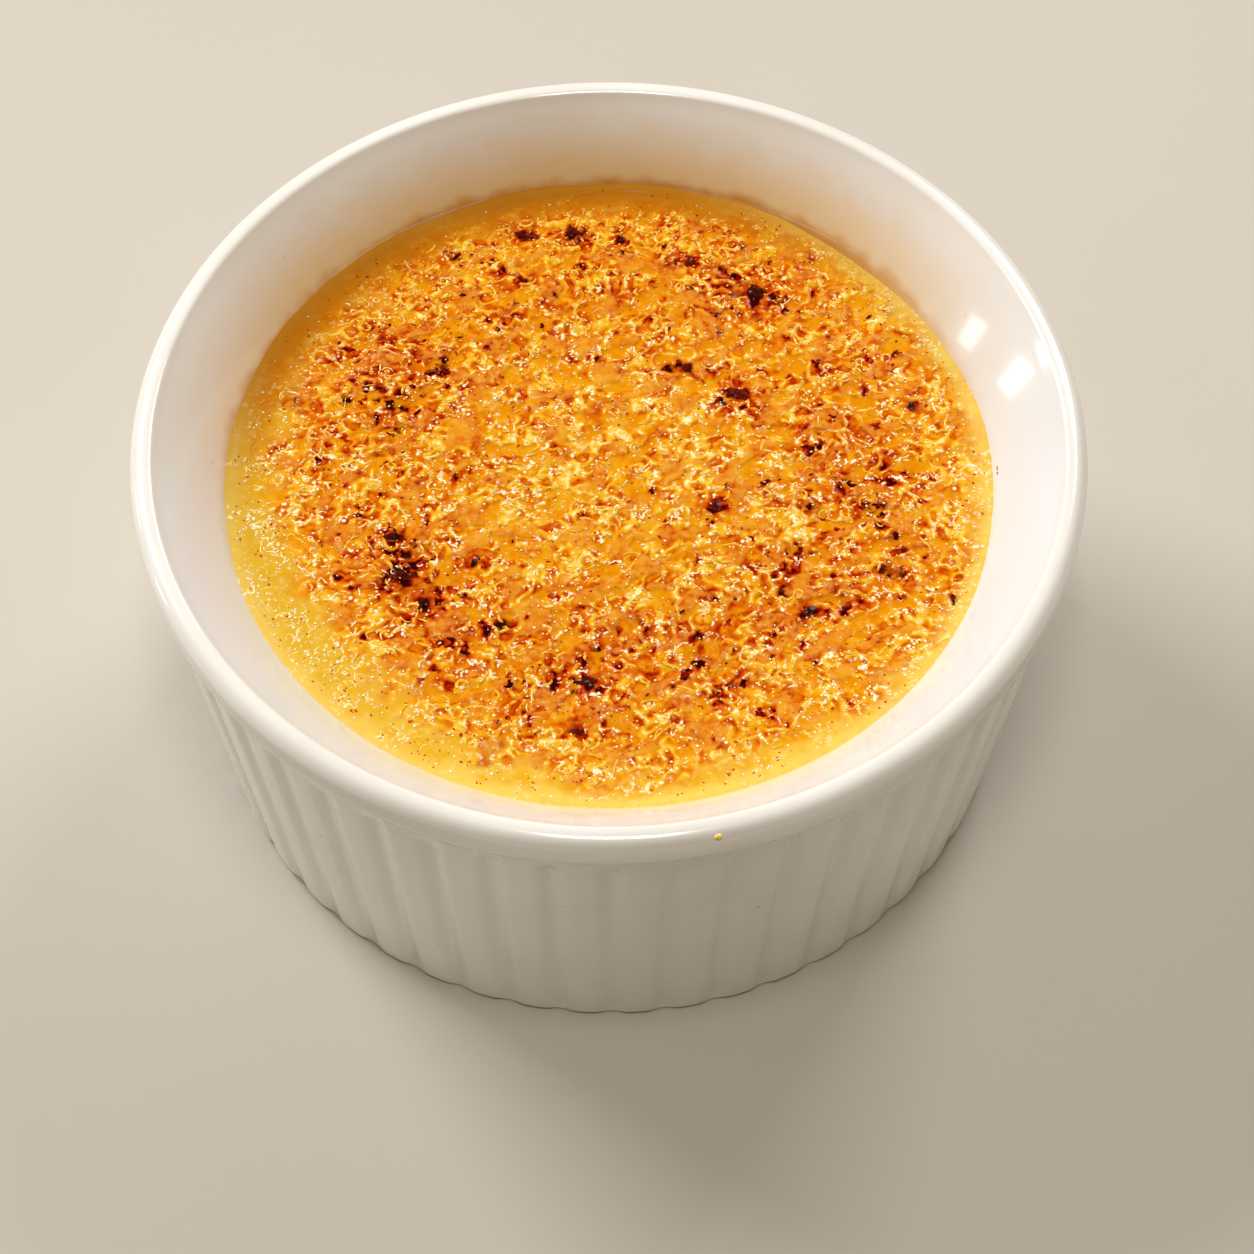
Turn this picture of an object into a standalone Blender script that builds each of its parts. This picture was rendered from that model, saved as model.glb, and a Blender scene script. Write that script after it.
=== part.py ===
"""Creme brulee in its fluted porcelain ramekin: the dish and the custard that fills it.

Metres, +Z up. The origin is the middle of the foot, on the surface that the dish stands on.
The front of the dish faces -Y.
"""

import math

import bmesh
import bpy

# Outside of the dish
RIM_RADIUS = 0.0500
HEIGHT = 0.0460
BAND_HEIGHT = 0.0048
BAND_OVERHANG = 0.0009
BAND_TOP_ROUND = 0.0017
BAND_LOWER_ROUND = 0.0019
FOOT_RADIUS = 0.0450
FOOT_ROUND = 0.0008

# The flutes: broad convex lobes with narrow valleys between them
LOBES = 50
LOBE_DEPTH = 0.00055
LOBE_FULLNESS = 0.62
SEGMENTS_PER_LOBE = 4
FLUTE_FADE = 0.0030
FRONT = -math.pi / 2

# Inside of the dish
RIM_WIDTH = 0.0027
INNER_LIP_ROUND = 0.0008
CUSTARD_RADIUS = 0.0407
CUSTARD_LEVEL = 0.0375
FLARE_BOW = 0.0003
FLOOR_RADIUS = 0.0370
FLOOR_THICKNESS = 0.0052
FLOOR_CHAMFER = 0.0030

# Underside of the dish
FOOT_RING_WIDTH = 0.0042
RECESS_DEPTH = 0.0014

# The custard
GAP = 0.0003
CUSTARD_SEGMENTS = 72
CUSTARD_RINGS = 6
EDGE_DROP = 0.0004
TOP_UNEVENNESS = 0.00022


def arc(centre_r, centre_z, radius, start_deg, end_deg, steps):
    """Points (r, z) along an arc, its angles counted from +r towards +z."""
    points = []
    for step in range(steps + 1):
        angle = math.radians(start_deg + (end_deg - start_deg) * step / steps)
        points.append((centre_r + radius * math.cos(angle), centre_z + radius * math.sin(angle)))
    return points


def bowed_line(start, end, bow, steps):
    """Points between start and end, both left out, on a line that bows sideways at its middle."""
    run_r, run_z = end[0] - start[0], end[1] - start[1]
    length = math.hypot(run_r, run_z)
    points = []
    for step in range(1, steps):
        along = step / steps
        aside = 4 * bow * along * (1 - along) / length
        points.append((start[0] + run_r * along + run_z * aside, start[1] + run_z * along - run_r * aside))
    return points


def lobe_height(angle):
    """How far the fluted wall stands out at an angle: 0 in a valley, 1 on the crest of a lobe."""
    return abs(math.sin((angle - FRONT) * LOBES / 2)) ** LOBE_FULLNESS


def flute_depth(z):
    """Depth of the valleys at a height: full from the foot up, faded out just below the band."""
    share = min(max((HEIGHT - BAND_HEIGHT - z) / FLUTE_FADE, 0.0), 1.0)
    return LOBE_DEPTH * share * share * (3 - 2 * share)


def crest_radius(z):
    """Radius of the tapered outer wall at a height, over the crests of the lobes."""
    under_band = RIM_RADIUS - BAND_OVERHANG
    return FOOT_RADIUS + (under_band - FOOT_RADIUS) * z / (HEIGHT - BAND_HEIGHT)


def underside_profile():
    """From the recess under the dish out over the foot ring."""
    ring_inner = FOOT_RADIUS - FOOT_ROUND - FOOT_RING_WIDTH
    return [
        (ring_inner - RECESS_DEPTH, RECESS_DEPTH),
        (ring_inner, 0.0),
        (FOOT_RADIUS - LOBE_DEPTH - FOOT_ROUND, 0.0),
    ]


def fluted_wall_heights():
    """Heights of the outer wall's rings: one long straight run, then the stretch where the flutes fade."""
    under_band = HEIGHT - BAND_HEIGHT
    return [FOOT_ROUND, under_band - FLUTE_FADE, under_band - FLUTE_FADE / 2, under_band]


def rim_profile():
    """The rounded band, its top and the lip inside it."""
    lower_z = HEIGHT - BAND_HEIGHT + BAND_LOWER_ROUND
    lower = arc(RIM_RADIUS - BAND_LOWER_ROUND, lower_z, BAND_LOWER_ROUND, -70, 0, 2)
    upper = arc(RIM_RADIUS - BAND_TOP_ROUND, HEIGHT - BAND_TOP_ROUND, BAND_TOP_ROUND, 15, 90, 2)
    lip_r = RIM_RADIUS - RIM_WIDTH + INNER_LIP_ROUND
    lip = arc(lip_r, HEIGHT - INNER_LIP_ROUND, INNER_LIP_ROUND, 90, 150, 1)
    return lower + upper + lip


def floor_chamfer(inset):
    """The chamfer between the inner wall and the floor, moved inwards by the inset."""
    return [
        (FLOOR_RADIUS - inset, FLOOR_THICKNESS + FLOOR_CHAMFER),
        (FLOOR_RADIUS - FLOOR_CHAMFER, FLOOR_THICKNESS + inset),
    ]


def inner_profile(lip_end):
    """The flared wall down to the custard's edge, then the steeper hidden wall and the floor's chamfer."""
    edge = (CUSTARD_RADIUS, CUSTARD_LEVEL)
    return bowed_line(lip_end, edge, FLARE_BOW, 3) + [edge] + floor_chamfer(0.0)


def ring(bm, radius, z, segments, valley_depth=0.0):
    """A ring of vertices at height z, cut in by the valleys between the lobes."""
    vertices = []
    for index in range(segments):
        angle = FRONT + 2 * math.pi * index / segments
        reach = radius - valley_depth * (1 - lobe_height(angle))
        vertices.append(bm.verts.new((reach * math.cos(angle), reach * math.sin(angle), z)))
    return vertices


def join_rings(bm, rings):
    """A band of quads between each ring and the next."""
    for lower, upper in zip(rings, rings[1:]):
        for index in range(len(lower)):
            after = (index + 1) % len(lower)
            bm.faces.new((lower[index], lower[after], upper[after], upper[index]))


def plain_material(name, colour, roughness):
    material = bpy.data.materials.new(name)
    material.use_nodes = True
    shader = material.node_tree.nodes["Principled BSDF"]
    shader.inputs["Base Color"].default_value = (*colour, 1.0)
    shader.inputs["Roughness"].default_value = roughness
    shader.inputs["Metallic"].default_value = 0.0
    return material


def add_object(name, bm, material, sharp_angle_deg):
    """Make an object of the mesh, with its faces pointing out and its round stretches shaded smooth."""
    bmesh.ops.recalc_face_normals(bm, faces=bm.faces)
    mesh = bpy.data.meshes.new(name)
    bm.to_mesh(mesh)
    bm.free()
    mesh.materials.append(material)
    mesh.shade_smooth()
    mesh.set_sharp_from_angle(angle=math.radians(sharp_angle_deg))
    made = bpy.data.objects.new(name, mesh)
    bpy.context.scene.collection.objects.link(made)
    return made


def build_ramekin():
    """The porcelain dish: one turned profile whose outer wall is fluted."""
    segments = LOBES * SEGMENTS_PER_LOBE
    bm = bmesh.new()
    rings = [ring(bm, radius, z, segments) for radius, z in underside_profile()]
    for z in fluted_wall_heights():
        rings.append(ring(bm, crest_radius(z), z, segments, flute_depth(z)))
    rim = rim_profile()
    for radius, z in rim + inner_profile(rim[-1]):
        rings.append(ring(bm, radius, z, segments))
    join_rings(bm, rings)
    bm.faces.new(rings[0])
    bm.faces.new(rings[-1])
    return add_object("ramekin", bm, plain_material("white_porcelain", (0.90, 0.88, 0.84), 0.12), 40)


def inner_wall_radius(z):
    """Radius of the hidden inner wall between the floor's chamfer and the custard's edge."""
    low = FLOOR_THICKNESS + FLOOR_CHAMFER
    return FLOOR_RADIUS + (CUSTARD_RADIUS - FLOOR_RADIUS) * (z - low) / (CUSTARD_LEVEL - low)


def custard_top(x, y):
    """Height of the custard's gently uneven top, a little lower round its edge."""
    calm_edge = 1 - (math.hypot(x, y) / CUSTARD_RADIUS) ** 6
    waves = (
        math.sin(x * 190 + 0.8) * math.cos(y * 150 - 0.4)
        + 0.6 * math.sin(x * 330 - y * 270 + 2.1)
        + 0.4 * math.cos(x * 120 + y * 410)
    )
    return CUSTARD_LEVEL - EDGE_DROP * (1 - calm_edge) + TOP_UNEVENNESS * waves * calm_edge


def build_custard():
    """The custard, solid from the floor of the dish up to its browned top."""
    bm = bmesh.new()
    edge_z = CUSTARD_LEVEL - EDGE_DROP
    edge_radius = inner_wall_radius(edge_z) - GAP
    side = floor_chamfer(GAP)[::-1] + [(edge_radius, edge_z)]
    rings = [ring(bm, radius, z, CUSTARD_SEGMENTS) for radius, z in side]
    for step in range(1, CUSTARD_RINGS):
        top_ring = ring(bm, edge_radius * (1 - step / CUSTARD_RINGS), edge_z, CUSTARD_SEGMENTS)
        for vertex in top_ring:
            vertex.co.z = custard_top(vertex.co.x, vertex.co.y)
        rings.append(top_ring)
    join_rings(bm, rings)
    bm.faces.new(rings[0])
    middle = bm.verts.new((0.0, 0.0, custard_top(0.0, 0.0)))
    innermost = rings[-1]
    for index, vertex in enumerate(innermost):
        bm.faces.new((vertex, innermost[(index + 1) % len(innermost)], middle))
    return add_object("custard", bm, plain_material("browned_custard", (0.80, 0.42, 0.08), 0.25), 50)


def main():
    for leftover in list(bpy.data.objects):
        bpy.data.objects.remove(leftover, do_unlink=True)
    build_ramekin()
    build_custard()


main()
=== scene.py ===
"""Looks of the creme brulee: custard under a torched sugar crust, in a fluted white porcelain ramekin.

Lengths of the dish, the food, the patterns and the camera's place are in millimetres, and MM turns them into
metres where Blender takes them. Those of the lamps and the floor are in metres. +Z is up, the origin is the
middle of the foot, and the front of the dish faces -Y.
"""

import math

import bmesh
import bpy
import numpy as np
from mathutils import Matrix, Vector


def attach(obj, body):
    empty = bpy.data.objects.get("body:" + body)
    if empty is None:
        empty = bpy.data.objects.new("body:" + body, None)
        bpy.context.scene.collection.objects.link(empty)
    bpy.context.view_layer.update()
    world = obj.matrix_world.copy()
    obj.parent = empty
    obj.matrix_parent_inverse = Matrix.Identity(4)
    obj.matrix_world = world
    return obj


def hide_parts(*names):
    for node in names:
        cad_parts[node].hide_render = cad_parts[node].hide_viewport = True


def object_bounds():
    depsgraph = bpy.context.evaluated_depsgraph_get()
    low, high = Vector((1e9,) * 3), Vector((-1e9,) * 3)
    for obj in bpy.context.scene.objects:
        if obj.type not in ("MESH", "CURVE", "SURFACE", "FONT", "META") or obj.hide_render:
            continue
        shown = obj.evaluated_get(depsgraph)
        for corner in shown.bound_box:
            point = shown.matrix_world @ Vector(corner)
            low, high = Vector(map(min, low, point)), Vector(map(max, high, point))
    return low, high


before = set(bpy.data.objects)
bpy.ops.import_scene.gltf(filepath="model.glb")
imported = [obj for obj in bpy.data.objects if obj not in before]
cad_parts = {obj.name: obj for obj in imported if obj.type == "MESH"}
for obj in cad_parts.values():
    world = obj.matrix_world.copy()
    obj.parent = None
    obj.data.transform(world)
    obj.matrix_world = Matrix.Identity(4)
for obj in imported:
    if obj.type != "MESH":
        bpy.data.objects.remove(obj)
CAD_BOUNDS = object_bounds()

MM = 0.001
BODY = "root"

# Outside of the dish
RIM_RADIUS = CAD_BOUNDS[1].x / MM
HEIGHT = CAD_BOUNDS[1].z / MM
BAND_HEIGHT = 4.8
BAND_OVERHANG = 0.9
BAND_TOP_ROUND = 1.7
BAND_LOWER_ROUND = 1.9
CREASE_ROUND = 0.45
FOOT_RADIUS = 45.0
FOOT_ROUND = 0.8
FOOT_RING_WIDTH = 4.2
RECESS_DEPTH = 1.4

# The flutes: broad lobes with rounded valleys between them. A lobe is at its full height where the sine of
# the way across it is over CREST_FROM, and the valleys end FLUTE_STOP under the band
LOBES = 50
LOBE_DEPTH = 0.55
CREST_FROM = 0.9
SEGMENTS_PER_LOBE = 14
FLUTE_FADE = 3.0
FLUTE_STOP = 0.4
FRONT = -math.pi / 2

# Inside of the dish
RIM_WIDTH = 2.7
INNER_LIP_ROUND = 0.8
WALL_AT_CUSTARD = 40.7
CUSTARD_LEVEL = 37.5
FLARE_BOW = 0.3
FLOOR_RADIUS = 37.0
FLOOR_THICKNESS = 5.2
FLOOR_CHAMFER = 3.0

# The custard: its top is a net of small quads mapped onto a disc, its foot is CUSTARD_GAP over the floor
NET_SIDE = 304
REACH_INTO_WALL = 0.75
GRAIN_ANGLE = 28.0
CUSTARD_RADIUS = WALL_AT_CUSTARD + REACH_INTO_WALL
CUSTARD_GAP = 0.4

# Loose sugar and char on the crust
BEADS = 4600
BEAD_SEED = 7
STRANDS = 320
STRAND_SEED = 8
THREADS = 260
THREAD_SEED = 12
TUBE_STEPS = 9
TUBE_SIDES = 6
TUBE_FLATNESS = 0.4
TUBE_REACH = 39.6
CRUMBS = 170
LUMPS_PER_SPOT = 6
CHAR_SEED = 9
SPECKS = 1300
SPECK_SEED = 10
DROP_SEED = 13

# Burnt spots that stand out: distance from the middle, angle from +X in degrees, size
BURNT_SPOTS = [
    (35, 106, 1.3), (34, 97, 1.1), (31, 73, 1.2), (30, 57, 2.2), (18, 38, 1.7), (12, 341, 1.5),
    (24, 199, 1.5), (25, 210, 1.8), (18, 218, 1.1), (27, 320, 1.3), (35, 119, 0.9), (23, 141, 0.8),
    (34, 16, 1.2), (31, 337, 0.8), (26, 265, 1.2), (22, 239, 1.0), (32, 264, 1.0), (33, 87, 0.8),
    (25, 220, 1.3), (39, 336, 0.7), (17, 60, 1.0),
]

# Caramel spilt on the rim and on the wall: distance from the middle, angle, height, length, width, tint
SPILT_DROPS = [
    (49.6, -78, 45.36, 0.86, 0.60, 0.93),
    (41.33, 0.3, 38.45, 0.62, 0.22, 0.47),
    (41.30, -0.55, 38.42, 0.42, 0.20, 0.42),
]

# Toasted areas of the crust: x, y, radius, strength
TOASTED_AREAS = [
    (26, 0, 8, 0.5), (20, -14, 9, 0.42), (8, -22, 8, 0.5), (-4, -25, 7, 0.5), (-17, -20, 7, 0.45),
    (-22, -12, 7, 0.5), (-24, 13, 9, 0.5), (-13, 23, 7, 0.25), (16, 26, 6, 0.35), (-10, -28, 7, 0.3),
    (9, 14, 5, 0.25), (27, 15, 5, 0.3), (-28, 1, 6, 0.25), (12, -31, 7, 0.22), (32, -10, 6, 0.25),
]

# Lamps: azimuth (0 is the front, 90 the right), elevation, distance, width, height, power in watts, colour
DAYLIGHT = (1.0, 0.985, 0.965)
LAMPS = {
    "back_left": (230, 39, 1.3, 0.46, 0.46, 11.4, DAYLIGHT),
    "back_right": (150, 40, 1.3, 0.42, 0.42, 6.0, DAYLIGHT),
    "overhead": (0, 78, 1.3, 0.3, 0.3, 5.6, (1.0, 0.955, 0.88)),
    "window_near": (260, 10, 1.6, 0.12, 0.26, 0.7, (1.0, 1.0, 1.0)),
    "window_far": (246, 10, 1.6, 0.12, 0.26, 0.7, (1.0, 1.0, 1.0)),
}
LAMP_AIM = (0, 0, 0.03)

# Camera
CAMERA_DISTANCE = 320.0
CAMERA_ELEVATION = 52.88
CAMERA_AIM = (1.71, -24.8)
CAMERA_ROLL = 0.21
LENS = 87.9
SENSOR = 36.0


# ---------------- numbers and noise


def smoothstep(low, high, value):
    """0 up to low and 1 from high on, with a smooth rise between them."""
    share = np.clip((value - low) / (high - low), 0.0, 1.0)
    return share * share * (3 - 2 * share)


def blend(a, b, share):
    return a + (b - a) * share


class Noise:
    """Smooth gradient noise over the plane, about -1 to 1, with features about one unit across."""

    def __init__(self, seed):
        draw = np.random.default_rng(seed)
        self.order = np.tile(draw.permutation(256), 2)
        turn = draw.uniform(0, 2 * math.pi, 256)
        self.slopes = np.stack([np.cos(turn), np.sin(turn)], axis=1)

    def corner(self, cell_x, cell_y, dx, dy):
        slope = self.slopes[self.order[self.order[cell_x & 255] + (cell_y & 255)]]
        return slope[..., 0] * dx + slope[..., 1] * dy

    def __call__(self, x, y):
        cell_x = np.floor(x).astype(int)
        cell_y = np.floor(y).astype(int)
        dx, dy = x - cell_x, y - cell_y
        ease_x = dx * dx * dx * (dx * (dx * 6 - 15) + 10)
        ease_y = dy * dy * dy * (dy * (dy * 6 - 15) + 10)
        low = blend(self.corner(cell_x, cell_y, dx, dy), self.corner(cell_x + 1, cell_y, dx - 1, dy), ease_x)
        upper_left = self.corner(cell_x, cell_y + 1, dx, dy - 1)
        upper_right = self.corner(cell_x + 1, cell_y + 1, dx - 1, dy - 1)
        high = blend(upper_left, upper_right, ease_x)
        return 1.5 * blend(low, high, ease_y)


class Cells:
    """Irregular cells about one unit across, each with a seed in it and three random numbers.

    At a place they give the distance to the nearest seed, that cell's numbers, and the way from the seed.
    """

    def __init__(self, seed):
        draw = np.random.default_rng(seed)
        self.order = np.tile(draw.permutation(256), 2)
        self.jitter = draw.uniform(0.05, 0.95, (256, 2))
        self.numbers = draw.uniform(0, 1, (256, 3))

    def __call__(self, x, y):
        cell_x = np.floor(x).astype(int)
        cell_y = np.floor(y).astype(int)
        nearest = np.full(x.shape, 9.0)
        number = np.zeros(x.shape, int)
        away_x = np.zeros(x.shape)
        away_y = np.zeros(x.shape)
        for step_x in (-1, 0, 1):
            for step_y in (-1, 0, 1):
                seed_x, seed_y = cell_x + step_x, cell_y + step_y
                index = self.order[self.order[seed_x & 255] + (seed_y & 255)]
                gap_x = x - (seed_x + self.jitter[index, 0])
                gap_y = y - (seed_y + self.jitter[index, 1])
                distance = np.hypot(gap_x, gap_y)
                closer = distance < nearest
                number = np.where(closer, index, number)
                away_x = np.where(closer, gap_x, away_x)
                away_y = np.where(closer, gap_y, away_y)
                nearest = np.where(closer, distance, nearest)
        return nearest, self.numbers[number], away_x, away_y


def octaves(noise, x, y, count):
    """The noise with finer and weaker copies of itself added."""
    height = np.zeros_like(x)
    strength = 1.0
    for step in range(count):
        height += strength * noise(x * 2**step + 17.3 * step, y * 2**step - 9.1 * step)
        strength *= 0.5
    return height


# ---------------- the custard's surface


BROAD = Noise(3)
MIDDLE = Noise(11)
WARP_X = Noise(21)
WARP_Y = Noise(22)
REGION = Noise(31)
EDGE_LINE = Noise(41)
SQUIGGLE = Noise(51)
SCAR = Noise(61)
GRIT = Noise(71)
FILM = Noise(81)
POOL = Noise(91)
BURN = Noise(101)
PLATES = Cells(5)
GRAINS = Cells(6)


def warped(x, y, size, amount):
    """The places pushed about by noise of that size, which breaks up straight lines."""
    return (
        x + amount * WARP_X(x / size, y / size),
        y + amount * WARP_Y(x / size + 5.2, y / size + 1.3),
    )


def along_grain(x, y):
    """The places turned so that the first runs along the grain of the crust."""
    turn = math.radians(GRAIN_ANGLE)
    return x * math.cos(turn) + y * math.sin(turn), y * math.cos(turn) - x * math.sin(turn)


def around(x, y, angle_deg, spread_deg):
    """1 in the given direction from the middle, falling to 0 over the spread to each side.

    0 degrees is the right, 90 the back, 180 the left and 270 the front.
    """
    apart = np.degrees(np.arctan2(y, x)) - angle_deg
    apart = np.abs((apart + 180) % 360 - 180)
    return 1 - smoothstep(0, spread_deg, apart)


def pale_edge(x, y):
    """1 on the bare custard round the edge, 0 under the sugar."""
    push_x, push_y = warped(x, y, 5.0, 2.2)
    push_x, push_y = warped(push_x, push_y, 1.4, 1.7)
    radius = np.hypot(push_x, push_y)
    start = 39.8 - 3.8 * around(x, y, 197, 62) - 2.2 * around(x, y, 235, 45) - 1.2 * around(x, y, 280, 50)
    start += 1.4 * around(x, y, 345, 55)
    return smoothstep(start - 3.2, start + 1.6, radius)


def melted_edge(x, y):
    """1 along the deep amber melt against the back of the wall."""
    push_x, push_y = warped(x, y, 3.0, 1.1)
    radius = np.hypot(push_x, push_y)
    back = np.maximum(around(x, y, 95, 70), around(x, y, 140, 60))
    return smoothstep(35.6, 39.0, radius) * smoothstep(0.0, 0.9, back)


def toasted(x, y):
    """How brown the sugar is: a blotchy ring, lighter in the middle, with darker areas of its own."""
    push_x, push_y = warped(x, y, 6.0, 2.2)
    radius = np.hypot(push_x, push_y)
    amount = 0.20 + 0.13 * smoothstep(8, 24, radius) - 0.15 * smoothstep(30, 38, radius)
    # Painted shade: the crust darker towards the back, near the back wall
    amount += 0.06 * around(x, y, 100, 85) * smoothstep(26, 33, radius)
    for area_x, area_y, size, strength in TOASTED_AREAS:
        apart = np.hypot(push_x - area_x, push_y - area_y)
        amount += 0.40 * strength * (1 - smoothstep(0.2 * size, 1.25 * size, apart))
    return amount + 0.17 * octaves(MIDDLE, x / 3.6, y / 3.6, 3)


def scorched(x, y, core, fade):
    """1 at each burnt spot out to the core, falling to 0 at the fade, both as shares of the spot's size."""
    push_x, push_y = warped(x, y, 1.1, 0.55)
    amount = np.zeros_like(x)
    for reach, angle, size in BURNT_SPOTS:
        turn = math.radians(angle)
        apart = np.hypot(push_x - reach * math.cos(turn), push_y - reach * math.sin(turn))
        amount = np.maximum(amount, 1 - smoothstep(core * size, fade * size, apart))
    return amount


def loose_grit(x, y):
    """Sugar that lies on the bare custard: patches of it, most at the left and at the right."""
    patch = smoothstep(-0.2, 0.4, REGION(x / 4.1 + 3, y / 4.1))
    return (0.15 + 0.85 * patch) * (0.2 + 0.8 * around(x, y, 185, 75) + 0.7 * around(x, y, 10, 90))


def strung_edge(x, y):
    """Sugar drops strung along the inner side of the melt at the back."""
    radius = np.hypot(*warped(x, y, 4.0, 1.6))
    return around(x, y, 105, 95) * smoothstep(29.0, 32.0, radius) * smoothstep(37.4, 35.2, radius)


def smooth_areas(lean_x, lean_y):
    """Flat films and sunk pools of clear caramel, drawn out along the grain."""
    film = smoothstep(0.25, 0.35, FILM(lean_x / 4.4, lean_y / 1.9))
    pool = smoothstep(0.20, 0.34, POOL(lean_x / 3.8, lean_y / 2.3)) * (1 - film)
    return film, pool


def tilted_plates(lean_x, lean_y):
    """Heights of plates of sugar that each lean their own way."""
    _, number, away_x, away_y = PLATES(lean_x / 2.1, lean_y / 1.5)
    return (number[..., 1] - 0.5) * away_x + (number[..., 2] - 0.5) * away_y


def grains(x, y):
    """1 in the middle of each grain of sugar; some of the grains are missing."""
    nearest, number, _, _ = GRAINS(x / 0.85 + 4.0, y / 0.85)
    return (1 - smoothstep(0.1, 0.5, nearest)) * smoothstep(0.3, 0.8, number[..., 0])


def burnt_areas(x, y, swirl_x, swirl_y, toast):
    """Burnt blotches, and thin scars that cross the toasted areas."""
    blotch = BURN(swirl_x / 1.5, swirl_y / 1.2) + 0.5 * BURN(swirl_x / 0.7 + 7, swirl_y / 0.7)
    burn = smoothstep(0.70, 1.05, toast * 1.25 + 0.42 * blotch)
    line = 1 - smoothstep(0.0, 0.12, np.abs(SCAR(swirl_x / 2.2, swirl_y / 2.2)))
    scar = line * smoothstep(-0.1, 0.4, MIDDLE(x / 2.2 + 9, y / 2.2 - 4)) * smoothstep(0.25, 0.55, toast)
    return burn, scar


def surface(x, y):
    """Height of the crust over the custard's level, with the amounts that colour it."""
    radius = np.hypot(x, y)
    sugar = 1 - pale_edge(x, y)
    melt = melted_edge(x, y)
    rough = sugar * (1 - 0.8 * melt)

    lean_x, lean_y = warped(*along_grain(x, y), 1.9, 0.8)
    film, pool = smooth_areas(lean_x, lean_y)
    uneven = 1 - 0.9 * np.maximum(film, pool)
    tilt = tilted_plates(lean_x, lean_y)

    swirl_x, swirl_y = warped(x, y, 1.2, 0.5)
    ripple = SQUIGGLE(swirl_x / 1.7, swirl_y / 1.5)
    squiggle = 1 - smoothstep(0.02, 0.30, np.abs(ripple))
    region = REGION(x / 3.2, y / 3.2)
    busy = smoothstep(-0.40, 0.10, region) * uneven
    grit = GRIT(x / 2.9, y / 2.9)
    grain = grains(x, y)
    gritty = smoothstep(-0.1, 0.3, grit) * uneven

    halo = scorched(*warped(x, y, 2.6, 1.6), 0.6, 2.6)
    toast = toasted(x, y) + 0.07 * halo
    burn, scar = burnt_areas(x, y, swirl_x, swirl_y, toast)
    shards = 0.36 + 0.36 * smoothstep(0.15, 0.62, toast) + 0.08 * halo - 0.3 * (1 - sugar)
    on_crust = rough * uneven * smoothstep(-0.3, 0.2, grit)
    on_custard = loose_grit(x, y) * (1 - sugar) * (1 - melt)

    relief = rough * (
        0.06 * tilt + 0.07 * film - 0.08 * pool
        + 0.11 * squiggle * busy + 0.05 * grain * gritty - 0.06 * scar - 0.10 * burn
    )
    relief += 0.12 * BROAD(x / 9, y / 9) * smoothstep(36, 26, radius)
    relief += (1 - sugar) * 0.025 * MIDDLE(x / 2.4, y / 2.4) * smoothstep(40.2, 37, radius)
    amounts = {
        "toast": toast,
        "pale": 1 - sugar,
        "ripple": ripple,
        "film": film * rough,
        "pool": pool * rough,
        "busy": rough * (1 - 0.92 * np.maximum(film, pool)) * smoothstep(-0.7, 0.0, region),
        "crest": rough * np.clip(squiggle * busy * 0.95 + grain * gritty * 0.7, 0, 1),
        # grit: where the painted highlight dots and curls go
        "grit": np.clip(on_crust + on_custard + 0.5 * strung_edge(x, y), 0, 1),
        "shards": np.clip(shards, 0.1, 1) * (1 - 0.6 * melt),
        "burn": np.maximum(rough * np.maximum(burn, 0.8 * scar), scorched(x, y, 0.25, 1.35)),
        "melt": melt,
        "halo": halo,
        # left: painted shade of the left wall on the bare custard
        "left": around(x, y, 190, 80) * smoothstep(28, 37, radius),
        # golden: painted shade darkening the back of the crust, where the painted highlights turn golden too
        "golden": around(x, y, 95, 105) * smoothstep(14, 32, radius),
        "rim": smoothstep(38.4 + 0.3 * melt, 40.6, radius + 0.45 * EDGE_LINE(x / 1.5, y / 1.5)),
    }
    return relief, amounts


def meniscus(x, y):
    """The custard creeps a little up the wall, most at the back and at the back left."""
    radius = np.hypot(x, y)
    creep = 0.3 + 0.2 * around(x, y, 120, 80) + 0.3 * EDGE_LINE(np.arctan2(y, x) * 3.2, radius * 0)
    dip = -0.55 * around(x, y, 45, 35)
    return (creep + dip) * smoothstep(WALL_AT_CUSTARD - 1.3, WALL_AT_CUSTARD + 0.1, radius)


def surface_height(x, y):
    """Height of the finished surface over the table."""
    return CUSTARD_LEVEL + surface(x, y)[0] + meniscus(x, y)


def disc_net():
    """An even square net mapped onto a disc: x, y and the net's quads."""
    steps = np.linspace(-1, 1, NET_SIDE + 1)
    across, up = np.meshgrid(steps, steps)
    wide = np.abs(across) >= np.abs(up)
    reach = np.where(wide, across, up)
    other = np.where(wide, up, across)
    turn = np.divide(other, reach, out=np.zeros_like(reach), where=reach != 0) * math.pi / 4
    along, aside = reach * np.cos(turn), reach * np.sin(turn)
    x = np.where(wide, along, aside) * CUSTARD_RADIUS
    y = np.where(wide, aside, along) * CUSTARD_RADIUS
    index = np.arange((NET_SIDE + 1) ** 2).reshape(NET_SIDE + 1, NET_SIDE + 1)
    quads = np.stack([index[:-1, :-1], index[:-1, 1:], index[1:, 1:], index[1:, :-1]], axis=-1)
    outline = np.concatenate([index[0, :-1], index[:-1, -1], index[-1, :0:-1], index[:0:-1, 0]])
    return x.ravel(), y.ravel(), quads.reshape(-1, 4), outline


# ---------------- meshes


def put_in_scene(name, data):
    """A new object with that mesh, lamp or camera."""
    made = bpy.data.objects.new(name, data)
    bpy.context.scene.collection.objects.link(made)
    return made


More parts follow.
